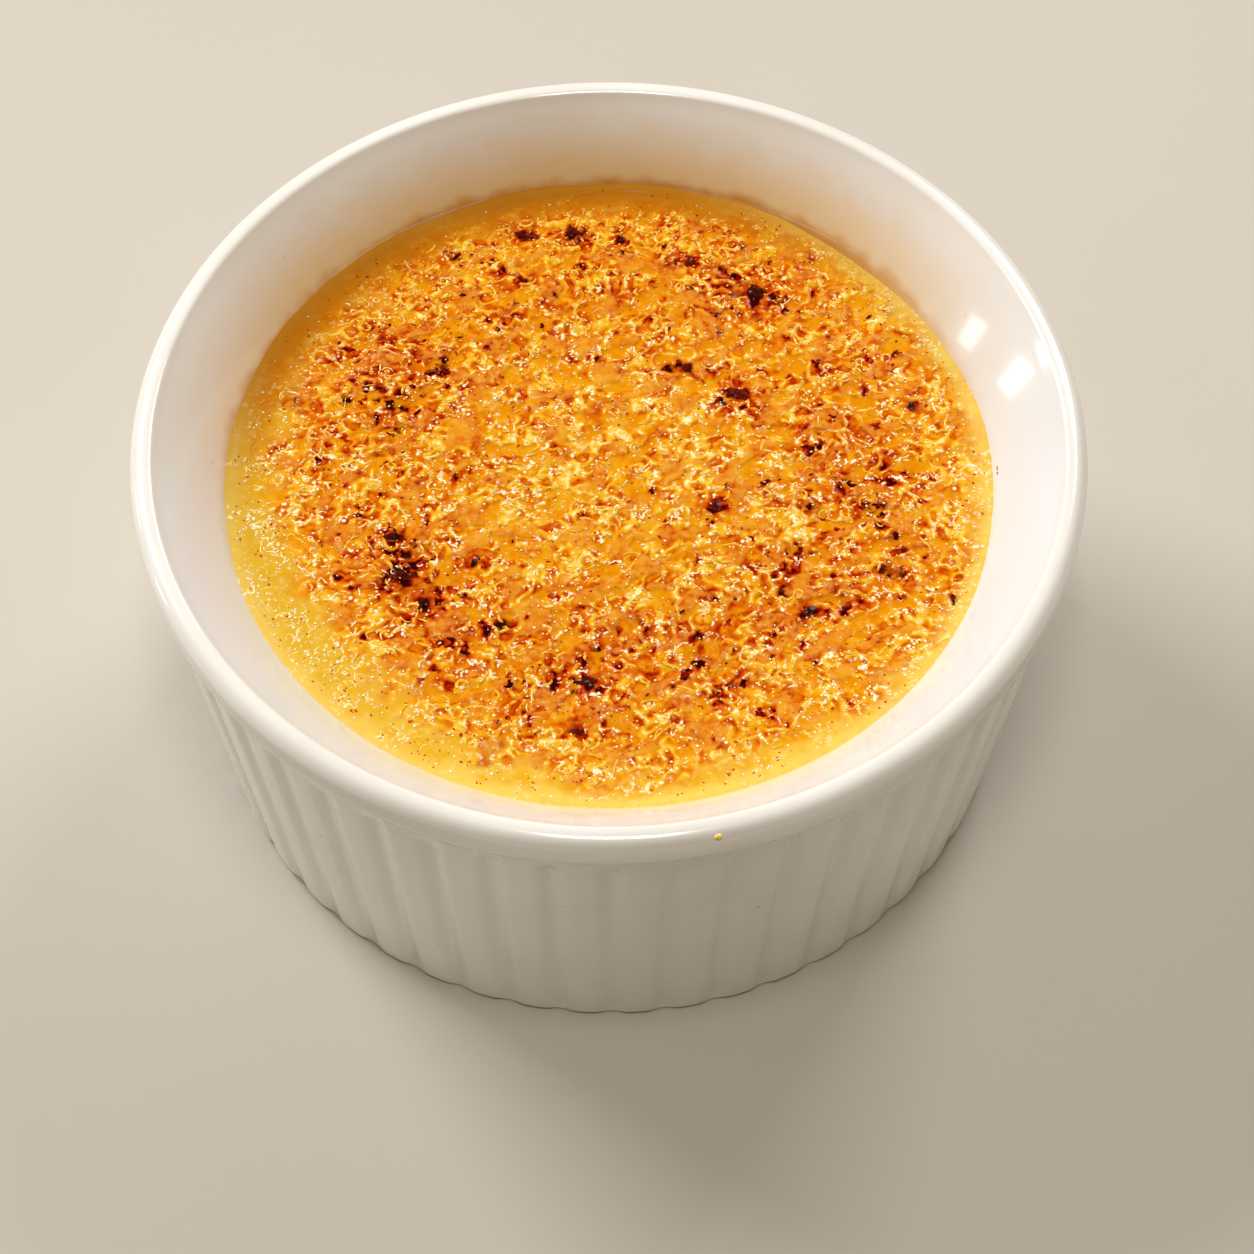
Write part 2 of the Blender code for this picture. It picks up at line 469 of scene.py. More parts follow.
def make_piece(name, points, faces, material, amounts, smooth=True):
    """A mesh object that rides on the dish. Its faces come as arrays of triangles or quads."""
    mesh = bpy.data.meshes.new(name)
    points = np.asarray(points, np.float32) * MM
    loops = np.concatenate([group.ravel() for group in faces]).astype(np.int32)
    sizes = np.concatenate([np.full(len(group), group.shape[1]) for group in faces]).astype(np.int32)
    mesh.vertices.add(len(points))
    mesh.vertices.foreach_set("co", points.ravel())
    mesh.loops.add(len(loops))
    mesh.loops.foreach_set("vertex_index", loops)
    mesh.polygons.add(len(sizes))
    mesh.polygons.foreach_set("loop_start", np.concatenate([[0], np.cumsum(sizes)[:-1]]).astype(np.int32))
    mesh.polygons.foreach_set("loop_total", sizes)
    mesh.update(calc_edges=True)
    mesh.polygons.foreach_set("use_smooth", np.full(len(sizes), smooth))
    for amount, values in amounts.items():
        layer = mesh.attributes.new(amount, "FLOAT", "POINT")
        layer.data.foreach_set("value", np.asarray(values, np.float32))
    mesh.materials.append(material)
    made = put_in_scene(name, mesh)
    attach(made, BODY)
    return made


def arc(centre_r, centre_z, radius, start_deg, end_deg, steps):
    """Points (r, z) along an arc, its angles counted from +r towards +z."""
    turn = np.radians(np.linspace(start_deg, end_deg, steps + 1))
    return [(centre_r + radius * math.cos(t), centre_z + radius * math.sin(t)) for t in turn]


def bowed_line(start, end, bow, steps):
    """Points between start and end, both left out, on a line that bows sideways at its middle."""
    run_r, run_z = end[0] - start[0], end[1] - start[1]
    length = math.hypot(run_r, run_z)
    points = []
    for step in range(1, steps):
        along = step / steps
        aside = 4 * bow * along * (1 - along) / length
        points.append((start[0] + run_r * along + run_z * aside, start[1] + run_z * along - run_r * aside))
    return points


def crest_radius(z):
    """Radius of the tapered outer wall at a height, over the crests of the lobes."""
    under_band = RIM_RADIUS - BAND_OVERHANG
    return FOOT_RADIUS + (under_band - FOOT_RADIUS) * z / (HEIGHT - BAND_HEIGHT)


def flute_depth(z):
    """Depth of the valleys: full from the foot up, faded out just below the band."""
    return LOBE_DEPTH * smoothstep(0, FLUTE_FADE, HEIGHT - BAND_HEIGHT - FLUTE_STOP - z)


def ramekin_profile():
    """Rings of the dish as (r, z, valley depth), from under the foot, up the outside and down the inside."""
    ring_inner = FOOT_RADIUS - FOOT_ROUND - FOOT_RING_WIDTH
    under_band = HEIGHT - BAND_HEIGHT
    profile = [
        (ring_inner - RECESS_DEPTH - 0.4, RECESS_DEPTH, 0),
        (ring_inner - RECESS_DEPTH, RECESS_DEPTH - 0.1, 0),
        (ring_inner - 0.2, 0.15, 0),
        (ring_inner + 0.2, 0.0, 0),
        (FOOT_RADIUS - LOBE_DEPTH - FOOT_ROUND, 0.0, 0),
    ]
    for r, z in arc(FOOT_RADIUS - FOOT_ROUND, FOOT_ROUND, FOOT_ROUND, -62, 0, 4):
        profile.append((r, z, LOBE_DEPTH * smoothstep(-0.2, FOOT_ROUND, z)))
    straight = np.linspace(3, under_band - FLUTE_FADE - 1, 9)
    fading = np.linspace(under_band - FLUTE_FADE - 0.5, under_band - CREASE_ROUND, 9)
    for z in (*straight, *fading):
        profile.append((crest_radius(z), z, flute_depth(z)))
    lower_z = under_band + BAND_LOWER_ROUND
    lower = arc(RIM_RADIUS - BAND_LOWER_ROUND, lower_z, BAND_LOWER_ROUND, -64, 0, 9)
    upper = arc(RIM_RADIUS - BAND_TOP_ROUND, HEIGHT - BAND_TOP_ROUND, BAND_TOP_ROUND, 12, 90, 9)
    lip_r = RIM_RADIUS - RIM_WIDTH + INNER_LIP_ROUND
    lip = arc(lip_r, HEIGHT - INNER_LIP_ROUND, INNER_LIP_ROUND, 90, 150, 6)
    foot_of_flare = (WALL_AT_CUSTARD, CUSTARD_LEVEL)
    low_wall = (FLOOR_RADIUS, FLOOR_THICKNESS + FLOOR_CHAMFER)
    inner = bowed_line(lip[-1], foot_of_flare, FLARE_BOW, 9) + [foot_of_flare]
    inner += bowed_line(foot_of_flare, low_wall, 0.0, 6)[:2] + [low_wall]
    inner += [(FLOOR_RADIUS - FLOOR_CHAMFER, FLOOR_THICKNESS)]
    profile += [(r, z, 0) for r, z in lower + upper + lip + inner]
    return profile


def ring_at(reach, turn, z):
    """Points round the Z axis at the given angles and one height. Each may have a reach of its own."""
    return np.stack([reach * np.cos(turn), reach * np.sin(turn), np.full(len(turn), z)], axis=1)


def turned_net(profile, segments):
    """Points and quads of the profile turned about Z, with the valleys between the lobes cut in."""
    angle = FRONT + 2 * math.pi * np.arange(segments) / segments
    lobe = smoothstep(0, CREST_FROM, np.abs(np.sin((angle - FRONT) * LOBES / 2)))
    rings = []
    for r, z, depth in profile:
        rings.append(ring_at(r - depth * (1 - lobe), angle, z))
    index = np.arange(len(profile) * segments).reshape(len(profile), segments)
    after = np.roll(index, -1, axis=1)
    quads = np.stack([index[:-1], after[:-1], after[1:], index[1:]], axis=-1).reshape(-1, 4)
    return np.concatenate(rings), quads, index


def close_ring(points, ring, height, flip):
    """A fan of triangles that closes a ring with one point in its middle."""
    middle = len(points)
    points = np.concatenate([points, [[0.0, 0.0, height]]])
    after = np.roll(ring, -1)
    order = [after, ring] if flip else [ring, after]
    return points, np.stack([*order, np.full(len(ring), middle)], axis=1)


def build_ramekin(material):
    """The dish: its profile turned about Z, with the flutes cut in and both ends closed."""
    profile = ramekin_profile()
    points, quads, index = turned_net(profile, LOBES * SEGMENTS_PER_LOBE)
    points, under = close_ring(points, index[0], profile[0][1], True)
    points, floor = close_ring(points, index[-1], profile[-1][1], False)
    made = make_piece("porcelain_ramekin", points, [quads, under, floor], material, {})
    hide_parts("ramekin")


def build_custard(material):
    """The custard with its crust: a fine net on top, and plain walls down into the dish."""
    x, y, quads, outline = disc_net()
    relief, amounts = surface(x, y)
    z = CUSTARD_LEVEL + relief + meniscus(x, y)
    points = [np.stack([x, y, z], axis=1)]
    faces = [quads]
    turn = np.arctan2(y[outline], x[outline])
    above = outline
    start = len(x)
    bottom = FLOOR_THICKNESS + CUSTARD_GAP
    side = (
        (CUSTARD_RADIUS - 0.3, CUSTARD_LEVEL - 1.5),
        (FLOOR_RADIUS, bottom + FLOOR_CHAMFER + CUSTARD_GAP),
        (FLOOR_RADIUS - FLOOR_CHAMFER, bottom),
    )
    for reach, level in side:
        points.append(ring_at(reach, turn, level))
        below = start + np.arange(len(turn))
        faces.append(np.stack([np.roll(above, -1), above, below, np.roll(below, -1)], axis=1))
        above = below
        start += len(turn)
    points, under = close_ring(np.concatenate(points), above, bottom, True)
    faces.append(under)
    added = len(points) - len(x)
    amounts = {
        key: np.concatenate([values, np.full(added, float(key == "pale"))]) for key, values in amounts.items()
    }
    made = make_piece("custard_with_crust", points, faces, material, amounts)
    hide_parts("custard")


# ---------------- materials


def linear(red, green, blue):
    """A colour given as 0 to 255 screen values, turned into the linear values that shaders take."""
    shares = np.array((red, green, blue)) / 255
    curved = ((shares + 0.055) / 1.055) ** 2.4
    return (*np.where(shares <= 0.04045, shares / 12.92, curved), 1.0)


class Value:
    """What a node gives out at each place. Arithmetic with it makes Math nodes."""

    def __init__(self, socket):
        self.socket = socket
        self.tree = socket.id_data

    def __add__(self, other):
        return math_of("ADD", self, other)

    def __sub__(self, other):
        return math_of("SUBTRACT", self, other)

    def __rsub__(self, other):
        return math_of("SUBTRACT", other, self)

    def __mul__(self, other):
        return math_of("MULTIPLY", self, other)

    def __abs__(self):
        return math_of("ABSOLUTE", self)

    def sibling(self, output):
        """Another output of the same node."""
        return Value(self.socket.node.outputs[output])


def add_node(tree, kind, inputs, output=0, **settings):
    """One output of a new shader node, whose inputs are set to values or linked to other nodes."""
    made = tree.nodes.new("ShaderNode" + kind)
    for key, value in settings.items():
        setattr(made, key, value)
    for key, value in inputs.items():
        if isinstance(value, Value):
            tree.links.new(value.socket, made.inputs[key])
        else:
            made.inputs[key].default_value = value
    return Value(made.outputs[output])


def new_material(name, **values):
    """A material with only its Principled shader, whose uniform values are set here."""
    material = bpy.data.materials.new(name)
    material.use_nodes = True
    shader = material.node_tree.nodes["Principled BSDF"]
    for key, value in values.items():
        shader.inputs[key.replace("_", " ")].default_value = value
    return material, material.node_tree, shader


def connect(shader, **values):
    """Feed the shader's inputs with what nodes give out."""
    for key, value in values.items():
        value.tree.links.new(value.socket, shader.inputs[key.replace("_", " ")])


def math_of(operation, *values):
    """The values, at least one of them a node's, put through a Math node."""
    tree = next(value.tree for value in values if isinstance(value, Value))
    return add_node(tree, "Math", dict(enumerate(values)), operation=operation)


def larger(a, b):
    return math_of("MAXIMUM", a, b)


def vector_math(operation, inputs, output="Vector"):
    """The inputs, of which the first is a node's, put through a Vector Math node."""
    return add_node(inputs[0].tree, "VectorMath", inputs, output, operation=operation)


def spread(value, low, high, to_low=0.0, to_high=1.0):
    """The value mapped from low..high to the target range, held inside it."""
    names = {"Value": value, "From Min": low, "From Max": high, "To Min": to_low, "To Max": to_high}
    return add_node(value.tree, "MapRange", names, "Result", interpolation_type="SMOOTHSTEP")


def amount_of(tree, name):
    """One of the amounts that the mesh carries at its points."""
    return add_node(tree, "Attribute", {}, "Fac", attribute_name=name)


def object_place(tree):
    """The place on the piece in its own coordinates, in metres."""
    return add_node(tree, "TexCoord", {}, "Object")


def speckle(place, size, detail, output="Fac"):
    """Noise with features of about that size in millimetres."""
    names = {"Vector": place, "Scale": 1 / (size * MM), "Detail": detail}
    return add_node(place.tree, "TexNoise", names, output)


def mix(a, b, share):
    """Colour a, turning into colour b as the share goes from 0 to 1. A tuple is in 0 to 255 screen values."""
    ends = [linear(*colour) if isinstance(colour, tuple) else colour for colour in (a, b)]
    return add_node(share.tree, "Mix", {0: share, 6: ends[0], 7: ends[1]}, 2, data_type="RGBA")


def colour_ramp(value, stops):
    """The value turned into a colour between the stops, each a place from 0 to 1 and its colour."""
    ramp = add_node(value.tree, "ValToRGB", {"Fac": value}, "Color")
    elements = ramp.socket.node.color_ramp.elements
    while len(elements) < len(stops):
        elements.new(0.5)
    for element, (place, colour) in zip(elements, stops):
        element.position = place
        element.color = linear(*colour)
    return ramp


def bump(height, strength, distance):
    """The surface's direction, bent by a height that is worth the distance in millimetres at 1."""
    names = {"Height": height, "Strength": strength, "Distance": distance * MM}
    return add_node(height.tree, "Bump", names, "Normal")


def pushed_about(place, size, amount, detail=1.0):
    """The place moved by noise with features of that size, by up to the amount, both in millimetres."""
    push = vector_math("SUBTRACT", {0: speckle(place, size, detail, "Color"), 1: (0.5, 0.5, 0.5)})
    return vector_math("ADD", {0: place, 1: vector_math("SCALE", {0: push, "Scale": 2 * amount * MM})})


def squiggles(place, size, wander):
    """Distance from winding contour lines about that size apart in millimetres, 0 on a line."""
    return abs(speckle(pushed_about(place, size / 1.2, wander, 0.0), size, 0.0) - 0.5)


def cells_of(place, size):
    """Irregular cells of that size in millimetres: distance to the nearest seed, and that cell's number."""
    names = {"Vector": place, "Scale": 1 / (size * MM), "Randomness": 1.0}
    distance = add_node(place.tree, "TexVoronoi", names, "Distance")
    return distance, add_node(place.tree, "SeparateColor", {"Color": distance.sibling("Color")}, "Red")


def granules(place, size, kept):
    """Grains of many sizes in a jittered pattern, of which the kept share is there: 1 in their middles."""
    distance, number = cells_of(place, size)
    return spread(spread(number, 1 - kept, 1.0, 0.0, 0.42) - distance, 0.0, 0.07)


def flakes(place, size, amount):
    """Over 0 inside ragged flecks up to that size in millimetres, more and larger as the amount grows."""
    distance, number = cells_of(pushed_about(place, 0.45 * size, 0.45 * size), size)
    return (amount - number) * 0.8 - distance


def speckled_glaze(place):
    """White with faint clouds and a few small brown flecks."""
    white = mix((247, 246, 243), (242, 240, 235), spread(speckle(place, 16.0, 3.0), 0.35, 0.65))
    return mix(white, (205, 180, 145), spread(speckle(place, 1.3, 0.0), 0.87, 0.90) * 0.6)


def tinted_inside(place, x, y, z, colour):
    """The wall over the custard: painted honey-coloured warm light bounced from the custard towards the back,
    with a thin amber caramel stain at its foot, and a painted faintly cool white at the front that offsets
    the custard's warm bounce light.
    """
    distance = vector_math("LENGTH", {0: add_node(place.tree, "CombineXYZ", {"X": x, "Y": y})}, "Value")
    over_custard = spread(z, (CUSTARD_LEVEL - 1.6) * MM, (CUSTARD_LEVEL - 1.0) * MM)
    inside = spread(distance, 47.9 * MM, 47.3 * MM) * over_custard
    back = y + x * -0.2
    warm = spread(back, -12 * MM, 40 * MM) * inside
    cool = spread(back, 20 * MM, -15 * MM) * inside
    above = z + (speckle(place, 2.6, 1.0) - 0.5) * (1.6 * MM) - CUSTARD_LEVEL * MM
    # Painted warm light bounced from the custard onto the back of the wall
    colour = mix(colour, (240, 206, 150), warm * spread(above, 8 * MM, 0.5 * MM))
    # Painted cool tint, strongest at the front, offsetting the custard's warm bounce light
    colour = mix(colour, (240, 243, 247), cool)
    colour = mix(colour, (230, 241, 244), spread(y, -10 * MM, -38 * MM) * cool)
    # A thin amber caramel stain where the custard meets the back of the wall
    return mix(colour, (214, 150, 56), warm * spread(above, 1.6 * MM, 0.1 * MM))


def porcelain():
    """White glaze, clear and glossy, over a foot that is left bare."""
    material, tree, shader = new_material(
        "white_glazed_porcelain", Coat_Weight=0.6, Coat_Roughness=0.06, Coat_IOR=1.5, IOR=1.5
    )
    place = object_place(tree)
    x = add_node(tree, "SeparateXYZ", {"Vector": place}, "X")
    y, z = x.sibling("Y"), x.sibling("Z")
    bare_foot = spread(z, 0.4 * MM, 0.1 * MM)
    colour = mix(tinted_inside(place, x, y, z, speckled_glaze(place)), (222, 214, 200), bare_foot)
    roughness = spread(bare_foot, 0, 1, 0.16, 0.6)
    connect(shader, Base_Color=colour, Roughness=roughness, Normal=bump(speckle(place, 5.0, 2.0), 0.08, 0.3))
    return material


# Colours from the most burnt to the brightest: place on the ramp, and red, green and blue
SUGAR_COLOURS = [
    (0.0, (58, 3, 2)), (0.1, (140, 13, 2)), (0.2, (172, 42, 3)), (0.3, (197, 79, 4)), (0.4, (212, 107, 6)),
    (0.5, (221, 130, 9)), (0.6, (228, 152, 16)), (0.7, (236, 173, 34)), (0.8, (244, 192, 62)),
    (0.9, (251, 217, 112)), (1.0, (255, 250, 220)),
]
CHAR_COLOURS = [(0.0, (34, 6, 3)), (0.35, (98, 13, 3)), (0.7, (158, 44, 5)), (1.0, (204, 92, 8))]


def burnt_share(tree, flake, medium):
    """1 inside the brown flakes and where the sugar is scorched."""
    burn = amount_of(tree, "burn") + medium * 0.7 - 0.35
    return larger(spread(flake, 0.0, 0.14), spread(burn, 0.1, 0.95))


def smooth_patches(tree, medium, dark):
    """How much the flat films and the sunk pools of caramel show, less so where the sugar is burnt."""
    clear = (1.0 - dark) * spread(amount_of(tree, "halo"), 0.0, 0.8, 1.0, 0.3)
    film = amount_of(tree, "film") * spread(medium, 0.2, 0.7) * clear
    return film, amount_of(tree, "pool") * clear


def painted_glints(place, busy, away, medium, dark):
    """Painted highlights: bright strokes along the ridges, and bright dots and curls where loose sugar lies,
    where it isn't burnt.
    """
    clean = spread(dark, 0.5, 0.0)
    glint_stroke = spread(away, 0.105, 0.06) * spread(medium, 0.51, 0.58) * busy * clean
    dots = granules(pushed_about(place, 0.5, 0.12), 0.56, 0.62)
    curls = spread(squiggles(place, 1.1, 0.45), 0.055, 0.03) * spread(medium, 0.5, 0.6)
    return glint_stroke, larger(dots, curls) * amount_of(place.tree, "grit") * clean


def sugar_brightness(tree, medium, wide, busy, away, ridge, flake, dark):
    """How bright the sugar is: 0 where it is burnt black, 1 where it is nearly white. Ridges are painted
    lighter as light on their crests, with painted shade beside them.
    """
    film = amount_of(tree, "film")
    film_edge = film * (1.0 - film) * 4.0
    groove_shade = spread(away, 0.30, 0.42) * spread(away, 0.70, 0.45) * busy
    near_burns = amount_of(tree, "halo") * spread(medium, 0.30, 0.60, 1.0, 0.35)
    return (
        amount_of(tree, "toast") * -0.50
        + medium * 0.44
        + wide * 0.66
        # Painted light on the ridge crests, and painted shade in the grooves beside them
        + ridge * 0.25
        + groove_shade * -0.13
        + busy * -0.05
        + spread(flake, -0.24, 0.06) * -0.17
        + film_edge * medium * -0.20
        + dark * -0.22
        # Painted shade towards the back
        + amount_of(tree, "golden") * -0.05
        + near_burns * -0.17
        + 0.11
    )


def custard_over_sugar(tree, colour, wide):
    """The bare custard round the edge, darker at the left as painted shade, the amber melt at the back, and
    the thin rim against the wall.
    """
    melt = amount_of(tree, "melt")
    custard = mix((234, 194, 74), (228, 172, 36), spread(wide, 0.38, 0.66))
    # Painted shade: the bare custard darker and more olive at the left
    custard = mix(custard, (212, 166, 42), amount_of(tree, "left") * 0.75)
    colour = mix(colour, custard, amount_of(tree, "pale"))
    colour = mix(colour, (190, 110, 10), melt * 0.92)
    return mix(colour, mix((242, 208, 104), (200, 138, 44), melt), amount_of(tree, "rim") * 0.6)


def painted_glints_over(tree, colour, glint_stroke, grain_glint):
    """Painted highlights over the colour: pale gold strokes and nearly white dots and curls, all of them more
    golden at the back.
    """
    golden = amount_of(tree, "golden")
    colour = mix(colour, mix((255, 230, 148), (252, 206, 84), golden), glint_stroke * 0.95)
    return mix(colour, mix((255, 249, 214), (255, 226, 120), golden), grain_glint)


def crust():
    """Custard and melted sugar: pale at the edge, golden to amber, with brown scars, crests painted bright,
    and painted highlights.
    """
    material, tree, shader = new_material(
        "torched_sugar_crust", Coat_Roughness=0.05, Coat_IOR=1.5, IOR=1.45, Specular_IOR_Level=0.02
    )
    place = object_place(tree)
    medium = speckle(place, 0.8, 1.0)
    wide = speckle(place, 1.9, 1.0)
    busy = amount_of(tree, "busy")
    away = abs(amount_of(tree, "ripple"))
    ridge = spread(away, 0.34, 0.12) * busy
    flake = flakes(place, 1.5, amount_of(tree, "shards"))
    dark = burnt_share(tree, flake, medium)
    film, pool = smooth_patches(tree, medium, dark)
    # Painted highlights: strokes along the ridges, and dots and curls on the grit
    glint_stroke, grain_glint = painted_glints(place, busy, away, medium, dark)
    glint = larger(glint_stroke, grain_glint)

    colour = colour_ramp(sugar_brightness(tree, medium, wide, busy, away, ridge, flake, dark), SUGAR_COLOURS)
    colour = mix(colour, (219, 145, 54), film * 0.58)
    colour = mix(colour, (226, 150, 10), pool * 0.6)
    colour = custard_over_sugar(tree, colour, wide)
    colour = painted_glints_over(tree, colour, glint_stroke, grain_glint)
    connect(
        shader,
        Base_Color=colour,
        Roughness=spread(film, 0, 1, 0.10, 0.22),
        Coat_Weight=spread(ridge + glint + amount_of(tree, "crest"), 0.0, 1.0, 0.01, 0.25),
        Normal=bump(ridge + glint * 0.5 + dark * -0.6, 1.0, 0.035),
    )
    return material


def coated(name, roughness, specular, coat, coat_roughness):
    """A material for loose pieces, with a clear coat of that weight."""
    return new_material(
        name,
        Roughness=roughness,
        Specular_IOR_Level=specular,
        Coat_Weight=coat,
        Coat_Roughness=coat_roughness,
        Coat_IOR=1.5,
    )


def sugar_beads_material():
    """Drops and crystals of sugar, gold at their feet and painted nearly white on top as a highlight."""
    material, tree, shader = coated("sugar_beads", 0.12, 0.06, 0.3, 0.05)
    connect(shader, Base_Color=colour_ramp(amount_of(tree, "tint"), SUGAR_COLOURS))
    return material


def caramel_material():
    """Strands, threads and drops of melted sugar, the strands and threads painted lighter along their tops as
    a highlight.
    """
    material, tree, shader = coated("caramel_strands", 0.12, 0.15, 0.6, 0.05)
    jitter = spread(speckle(object_place(tree), 0.5, 1.0), 0.2, 0.8, -0.12, 0.12)
    connect(shader, Base_Color=colour_ramp(amount_of(tree, "tint") + jitter, SUGAR_COLOURS))
    return material


def char_material():
    """Sugar burnt black, brown at its thin edges, with a dull shine."""
    material, tree, shader = coated("burnt_sugar", 0.4, 0.03, 0.2, 0.08)
    cloud = speckle(object_place(tree), 0.35, 2.0)
    value = amount_of(tree, "tint") + spread(cloud, 0.2, 0.8, -0.2, 0.2)
    connect(shader, Base_Color=colour_ramp(value, CHAR_COLOURS), Normal=bump(cloud, 0.6, 0.1))
    return material


# ---------------- loose sugar and char


def ball(subdivisions):
    """Points and triangles of a round ball of radius 1."""
    bm = bmesh.new()
    bmesh.ops.create_icosphere(bm, subdivisions=subdivisions, radius=1.0)
    points = np.array([vertex.co for vertex in bm.verts])
    faces = np.array([[vertex.index for vertex in face.verts] for face in bm.faces])
    bm.free()
    return points, faces


def repeated(faces, count, points_each):
    """The faces of one shape, once for each of its copies."""
    offsets = (np.arange(count) * points_each)[:, None, None]
    return (faces[None] + offsets).reshape(-1, faces.shape[1])


def copies(shape, places, sizes, turns, draw, unevenness=0.0):
    """Copies of a shape, each with its own place, three sizes and turn about Z, joined into one mesh."""
    points, faces = shape
    grown = points[None] * (1 + unevenness * draw.uniform(-1, 1, (len(places), len(points), 1)))
    grown = grown * sizes[:, None, :]
    cos, sin = np.cos(turns)[:, None], np.sin(turns)[:, None]
    turned_x = grown[..., 0] * cos - grown[..., 1] * sin
    turned_y = grown[..., 0] * sin + grown[..., 1] * cos
    turned = np.stack([turned_x, turned_y, grown[..., 2]], axis=-1)
    joined = (turned + places[:, None, :]).reshape(-1, 3)
    return joined, repeated(faces, len(places), len(points))


def laid_copies(shape, x, y, radius, draw, stretch, flatness, unevenness=0.0):
    """Copies of a ball laid on the crust, each stretched one way, flattened and turned."""
    sizes = np.stack([radius * draw.uniform(*stretch, len(x)), radius, radius * flatness], axis=1)
    places = np.stack([x, y, surface_height(x, y) + radius * 0.1], axis=1)
    return copies(shape, places, sizes, draw.uniform(0, math.pi, len(x)), draw, unevenness)


def loose_piece(name, points, faces, material, tint, smooth=True):
    """A piece of its own on the custard, coloured by the tint of its points."""
    make_piece(name, points, faces, material, {"tint": tint.ravel()}, smooth)


def tubes(paths, radii):
    """Closed tubes along the paths (tube, step, xyz), a little flat and pointed at both ends.

    Gives the points, the quads, the triangles at the ends, and how far each point faces up.
    """
    count, steps, _ = paths.shape
    forward = np.gradient(paths, axis=1)
    forward /= np.linalg.norm(forward, axis=-1, keepdims=True)
    aside = np.cross(forward, (0, 0, 1.0))
    aside /= np.linalg.norm(aside, axis=-1, keepdims=True)
    above = np.cross(aside, forward)
    turn = 2 * math.pi * (np.arange(TUBE_SIDES) + 0.5) / TUBE_SIDES
    out = aside[:, :, None] * np.cos(turn)[:, None]
    out += above[:, :, None] * np.sin(turn)[:, None] * TUBE_FLATNESS
    rings = paths[:, :, None] + out * radii[:, :, None, None]
    start_tip = paths[:, 0] - forward[:, 0] * radii[:, :1]
    end_tip = paths[:, -1] + forward[:, -1] * radii[:, -1:]
    points = np.concatenate([rings.reshape(count, -1, 3), np.stack([start_tip, end_tip], axis=1)], axis=1)
    upward = np.concatenate([np.tile(np.sin(turn), (count, steps)), np.zeros((count, 2))], axis=1)
    index = np.arange(steps * TUBE_SIDES).reshape(steps, TUBE_SIDES)
    after = np.roll(index, -1, axis=1)
    quads = np.stack([index[:-1], after[:-1], after[1:], index[1:]], axis=-1).reshape(-1, 4)
    tip = np.full(TUBE_SIDES, steps * TUBE_SIDES)
    start_fan = np.stack([after[0], index[0], tip], axis=1)
    end_fan = np.stack([index[-1], after[-1], tip + 1], axis=1)
    ends = np.concatenate([start_fan, end_fan])
    each = points.shape[1]
    return points.reshape(-1, 3), repeated(quads, count, each), repeated(ends, count, each), upward


def scatter(draw, count, chance, reach=40.0):
    """Places on the crust, drawn evenly and kept with the given chance at each place."""
    kept_x, kept_y = np.empty(0), np.empty(0)
    while len(kept_x) < count:
        radius = reach * np.sqrt(draw.uniform(0, 1, 4 * count))
        angle = draw.uniform(0, 2 * math.pi, 4 * count)
        x, y = radius * np.cos(angle), radius * np.sin(angle)
        keep = draw.uniform(0, 1, len(x)) < chance(x, y)
        kept_x, kept_y = np.append(kept_x, x[keep]), np.append(kept_y, y[keep])
    return kept_x[:count], kept_y[:count]


def bead_chance(x, y):
    """Beads gather on the crests, along the melt at the back, and in patches on the bare custard."""
    _, amounts = surface(x, y)
    on_pale = amounts["pale"] * loose_grit(x, y)
    on_crust = (0.25 + 0.6 * amounts["crest"]) * (1 - 0.6 * amounts["film"]) * (1 - amounts["pale"])
    return (on_pale + on_crust) * (1 - 0.9 * amounts["melt"]) + 0.4 * strung_edge(x, y)


def build_beads(material):
    """Thousands of drops and crystals of sugar, most of them a quarter of a millimetre across."""
    draw = np.random.default_rng(BEAD_SEED)
    x, y = scatter(draw, BEADS, bead_chance)
    radius = 0.09 + 0.13 * draw.beta(1.3, 3.5, BEADS)
    shape = ball(1)
    points, faces = laid_copies(shape, x, y, radius, draw, stretch=(0.9, 1.5), flatness=0.25)
    top = np.clip(shape[0][:, 2], 0, 1)
    amounts = surface(x, y)[1]
    # Painted light: each bead is lighter on top, lighter on the bare custard to offset its shaded sides, and
    # darker towards the back as painted shade
    shift = 0.16 * amounts["pale"] - 0.12 * amounts["golden"]
    tint = (draw.uniform(0.50, 0.64, BEADS) + shift)[:, None] + 0.46 * np.sqrt(top)
    loose_piece("sugar_beads", points, [faces], material, tint)


def wander(draw, x, y, length, steps, bend):
    """Level paths that start at x, y and wander, each with its own bend."""
    heading = draw.uniform(0, 2 * math.pi, len(x))
    curl = draw.normal(0, bend, len(x))
    places = [np.stack([x, y], axis=1)]
    for _ in range(steps - 1):
        heading = heading + curl + draw.normal(0, bend * 0.6, len(x))
        move = np.stack([np.cos(heading), np.sin(heading)], axis=1) * (length / (steps - 1))[:, None]
        places.append(places[-1] + move)
    return np.stack(places, axis=1)


def strand_chance(x, y):
    """Strands lie on the crests of the crust, and few on the smooth films and the bare custard."""
    _, amounts = surface(x, y)
    chance = (0.12 + 0.88 * amounts["crest"]) * (1 - 0.7 * amounts["film"])
    return chance * (1 - amounts["melt"]) * (1 - 0.75 * amounts["pale"])


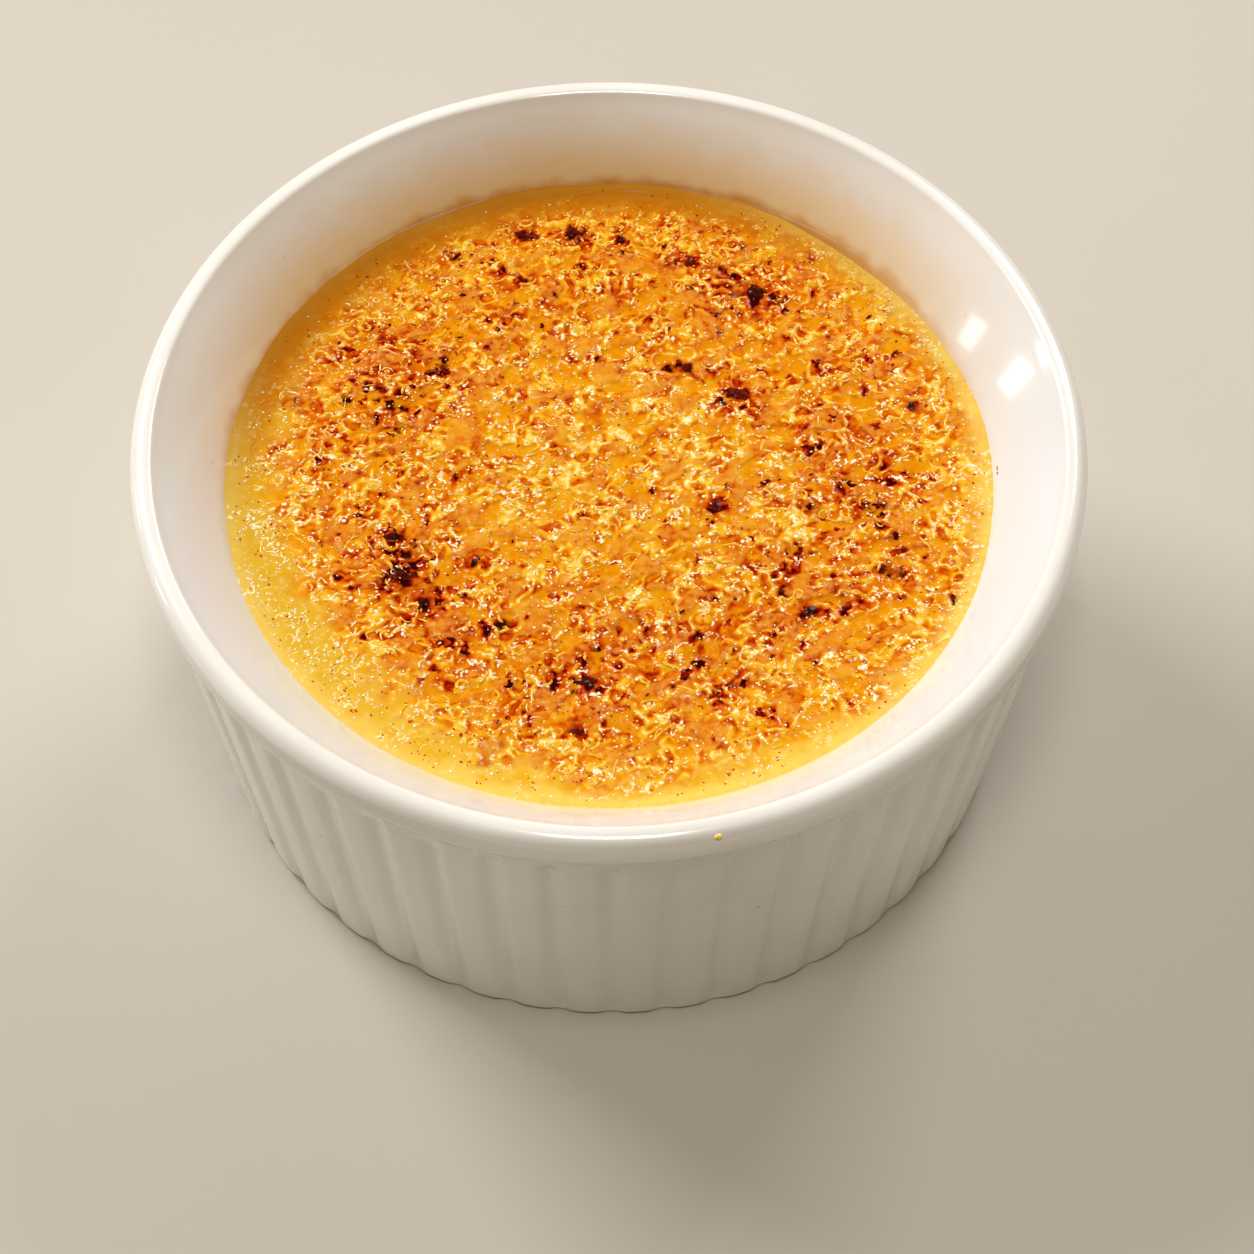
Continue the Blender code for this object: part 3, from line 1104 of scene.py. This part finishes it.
def laid_tubes(draw, x, y, length, thickness, bend):
    """Tubes that start at x, y, wander over the crust and sink into it at their ends."""
    level = wander(draw, x, y, length, TUBE_STEPS, bend)
    reach = np.hypot(level[..., 0], level[..., 1])
    level *= np.minimum(1, TUBE_REACH / np.maximum(reach, 1e-6))[..., None]
    along = np.linspace(0, 1, TUBE_STEPS)
    arch = np.sin(math.pi * along) ** 0.6
    radii = thickness[:, None] * (0.4 + 0.6 * arch)
    ground = surface_height(level[..., 0], level[..., 1])
    smoothed = ground.copy()
    smoothed[:, 1:-1] = 0.25 * ground[:, :-2] + 0.5 * ground[:, 1:-1] + 0.25 * ground[:, 2:]
    z = smoothed - radii * 0.15
    return tubes(np.concatenate([level, z[..., None]], axis=-1), radii)


def build_strands(material):
    """Short curled strands of caramel that lie on the crust."""
    draw = np.random.default_rng(STRAND_SEED)
    x, y = scatter(draw, STRANDS, strand_chance, reach=38.0)
    length = 0.7 + 2.6 * draw.beta(1.5, 3.5, STRANDS)
    thickness = 0.16 + 0.14 * draw.beta(1.8, 2.6, STRANDS)
    points, quads, ends, upward = laid_tubes(draw, x, y, length, thickness, bend=0.26)
    # Painted highlight: lighter along the tops of the strands
    tint = draw.uniform(0.42, 0.54, (STRANDS, 1)) + 0.28 * np.clip(upward, 0, 1)
    loose_piece("caramel_strands", points, [quads, ends], material, tint)


def thread_chance(x, y):
    """Threads lie in patches, most of them at the left and some at the right."""
    _, amounts = surface(x, y)
    patch = smoothstep(-0.25, 0.25, REGION(x / 4.6 - 3, y / 4.6 + 8))
    side = 0.05 + around(x, y, 190, 75) * smoothstep(20, 30, np.hypot(x, y)) + 0.3 * around(x, y, 20, 60)
    return patch * side * (1 - 0.6 * amounts["pool"]) * (1 - 0.95 * amounts["melt"])


def build_threads(material):
    """Thin threads of sugar, bent into hooks and loops, painted nearly white as glints on them."""
    draw = np.random.default_rng(THREAD_SEED)
    x, y = scatter(draw, THREADS, thread_chance, reach=39.0)
    length = 0.6 + 1.8 * draw.beta(1.5, 3.0, THREADS)
    thickness = draw.uniform(0.06, 0.13, THREADS)
    points, quads, ends, upward = laid_tubes(draw, x, y, length, thickness, bend=0.34)
    # Painted glints: the threads nearly white, and lighter still along their tops
    tint = draw.uniform(0.66, 0.82, (THREADS, 1)) + 0.2 * np.clip(upward, 0, 1)
    loose_piece("sugar_threads", points, [quads, ends], material, tint)


def spot_places(draw):
    """Lumps gathered round each burnt spot: x, y and size."""
    found = []
    for reach, angle, size in BURNT_SPOTS:
        turn = math.radians(angle)
        for index in range(LUMPS_PER_SPOT):
            away = 0.0 if index == 0 else abs(draw.normal(0, 0.42)) * size
            heading = draw.uniform(0, 2 * math.pi)
            x = reach * math.cos(turn) + away * math.cos(heading)
            y = reach * math.sin(turn) + away * math.sin(heading)
            found.append((x, y, size * (0.46 if index == 0 else draw.uniform(0.12, 0.30))))
    return np.array(found)


def crumb_chance(x, y):
    """Crumbs lie most on the toasted areas, and few on the bare custard and on the melt."""
    _, amounts = surface(x, y)
    chance = np.clip(0.16 + smoothstep(0.25, 0.7, amounts["toast"]), 0, 1) * (1 - 0.85 * amounts["pale"])
    return chance * (1 - 0.9 * amounts["melt"])


def build_char(material):
    """Black lumps at the burnt spots, and small burnt crumbs over the toasted areas."""
    draw = np.random.default_rng(CHAR_SEED)
    spots = spot_places(draw)
    x, y = scatter(draw, CRUMBS, crumb_chance, reach=38.0)
    crumbs = np.stack([x, y, 0.10 + 0.22 * draw.beta(1.3, 3.2, CRUMBS)], axis=1)
    x, y, size = np.concatenate([spots, crumbs]).T
    length = draw.uniform(0.8, 1.9, len(size))
    width = draw.uniform(0.5, 0.9, len(size))
    sizes = np.stack([length, width, np.full(len(size), 0.42)], axis=1) * size[:, None]
    places = np.stack([x, y, surface_height(x, y) + size * 0.18], axis=1)
    shape = ball(2)
    turns = draw.uniform(0, math.pi, len(size))
    points, faces = copies(shape, places, sizes, turns, draw, unevenness=0.17)
    dark = np.concatenate([draw.uniform(-0.1, 0.25, len(spots)), draw.uniform(0.15, 0.95, CRUMBS)])
    tint = dark[:, None] + 0.35 * (1 - np.abs(shape[0][:, 2]))
    loose_piece("burnt_sugar_bits", points, [faces], material, tint, smooth=False)


def build_drops(material):
    """A drop of caramel on the rim, and small flakes of it on the wall over the custard."""
    draw = np.random.default_rng(DROP_SEED)
    reach, degrees, height, length, width, tint = np.array(SPILT_DROPS).T
    angle = np.radians(degrees)
    places = np.stack([reach * np.cos(angle), reach * np.sin(angle), height], axis=1)
    sizes = np.stack([length, width, width], axis=1) / 2
    shape = ball(3)
    points, faces = copies(shape, places, sizes, angle + math.pi / 2, draw)
    loose_piece("caramel_drops", points, [faces], material, np.repeat(tint, len(shape[0])))


def speck_chance(x, y):
    """Specks lie everywhere, with more of them in patches on the bare custard."""
    _, amounts = surface(x, y)
    patch = smoothstep(-0.3, 0.4, REGION(x / 5.3 - 6, y / 5.3))
    return 0.35 + 0.5 * amounts["pale"] * patch * (1 - 0.6 * amounts["melt"])


def build_specks(material):
    """Fine brown specks, also out on the bare custard."""
    draw = np.random.default_rng(SPECK_SEED)
    x, y = scatter(draw, SPECKS, speck_chance, reach=40.2)
    radius = 0.06 + 0.13 * draw.beta(1.3, 3.6, SPECKS)
    shape = ball(1)
    points, faces = laid_copies(
        shape, x, y, radius, draw, stretch=(1.0, 1.8), flatness=0.5, unevenness=0.15
    )
    tint = np.repeat(draw.uniform(0.7, 1.6, SPECKS), len(shape[0]))
    loose_piece("brown_specks", points, [faces], material, tint)


# ---------------- stage


def add_camera():
    """The camera looks down on the front of the dish."""
    tip = math.radians(CAMERA_ELEVATION)
    away = Vector((0, -math.cos(tip), math.sin(tip))) * CAMERA_DISTANCE
    spot = (Vector((0, 0, HEIGHT)) + away) * MM
    aim = Vector((*CAMERA_AIM, HEIGHT)) * MM
    data = bpy.data.cameras.new("camera")
    data.lens = LENS
    data.sensor_width = SENSOR
    data.clip_start = 0.01
    data.clip_end = 10
    camera = put_in_scene("camera", data)
    turn = (aim - spot).to_track_quat("-Z", "Y").to_matrix().to_4x4()
    camera.matrix_world = Matrix.Translation(spot) @ turn @ Matrix.Rotation(math.radians(CAMERA_ROLL), 4, "Z")
    bpy.context.scene.camera = camera


def add_lamps():
    """Rectangular lamps aimed at the dish."""
    for name, (azimuth, elevation, distance, width, height, power, colour) in LAMPS.items():
        data = bpy.data.lights.new(name, "AREA")
        data.shape = "RECTANGLE"
        data.size, data.size_y = width, height
        data.energy = power
        data.color = colour
        lamp = put_in_scene(name, data)
        a, e = math.radians(azimuth), math.radians(elevation)
        towards = Vector((math.sin(a) * math.cos(e), -math.cos(a) * math.cos(e), math.sin(e)))
        lamp.location = towards * distance
        lamp.rotation_mode = "QUATERNION"
        lamp.rotation_quaternion = (Vector(LAMP_AIM) - lamp.location).to_track_quat("-Z", "Y")


def add_world():
    """A dim warm surrounding light."""
    world = bpy.data.worlds.new("studio")
    world.use_nodes = True
    background = world.node_tree.nodes["Background"]
    background.inputs["Color"].default_value = (1.0, 0.77, 0.47, 1.0)
    background.inputs["Strength"].default_value = 0.17
    bpy.context.scene.world = world


def add_floor():
    """A plain pale table top, well past the edges of the picture."""
    mesh = bpy.data.meshes.new("floor")
    reach = 3.0
    corners = [(-reach, -reach, 0), (reach, -reach, 0), (reach, reach, 0), (-reach, reach, 0)]
    mesh.from_pydata(corners, [], [(0, 1, 2, 3)])
    material, tree, shader = new_material("pale_floor", Roughness=0.6)
    connect(shader, Base_Color=mix((204, 198, 189), (197, 190, 180), speckle(object_place(tree), 60.0, 2.0)))
    mesh.materials.append(material)
    put_in_scene("floor", mesh)


def main():
    bpy.context.scene.view_settings.view_transform = "Standard"
    add_camera()
    build_ramekin(porcelain())
    build_custard(crust())
    build_beads(sugar_beads_material())
    caramel = caramel_material()
    build_strands(caramel)
    build_threads(caramel)
    build_drops(caramel)
    char = char_material()
    build_char(char)
    build_specks(char)
    add_floor()
    add_lamps()
    add_world()


main()
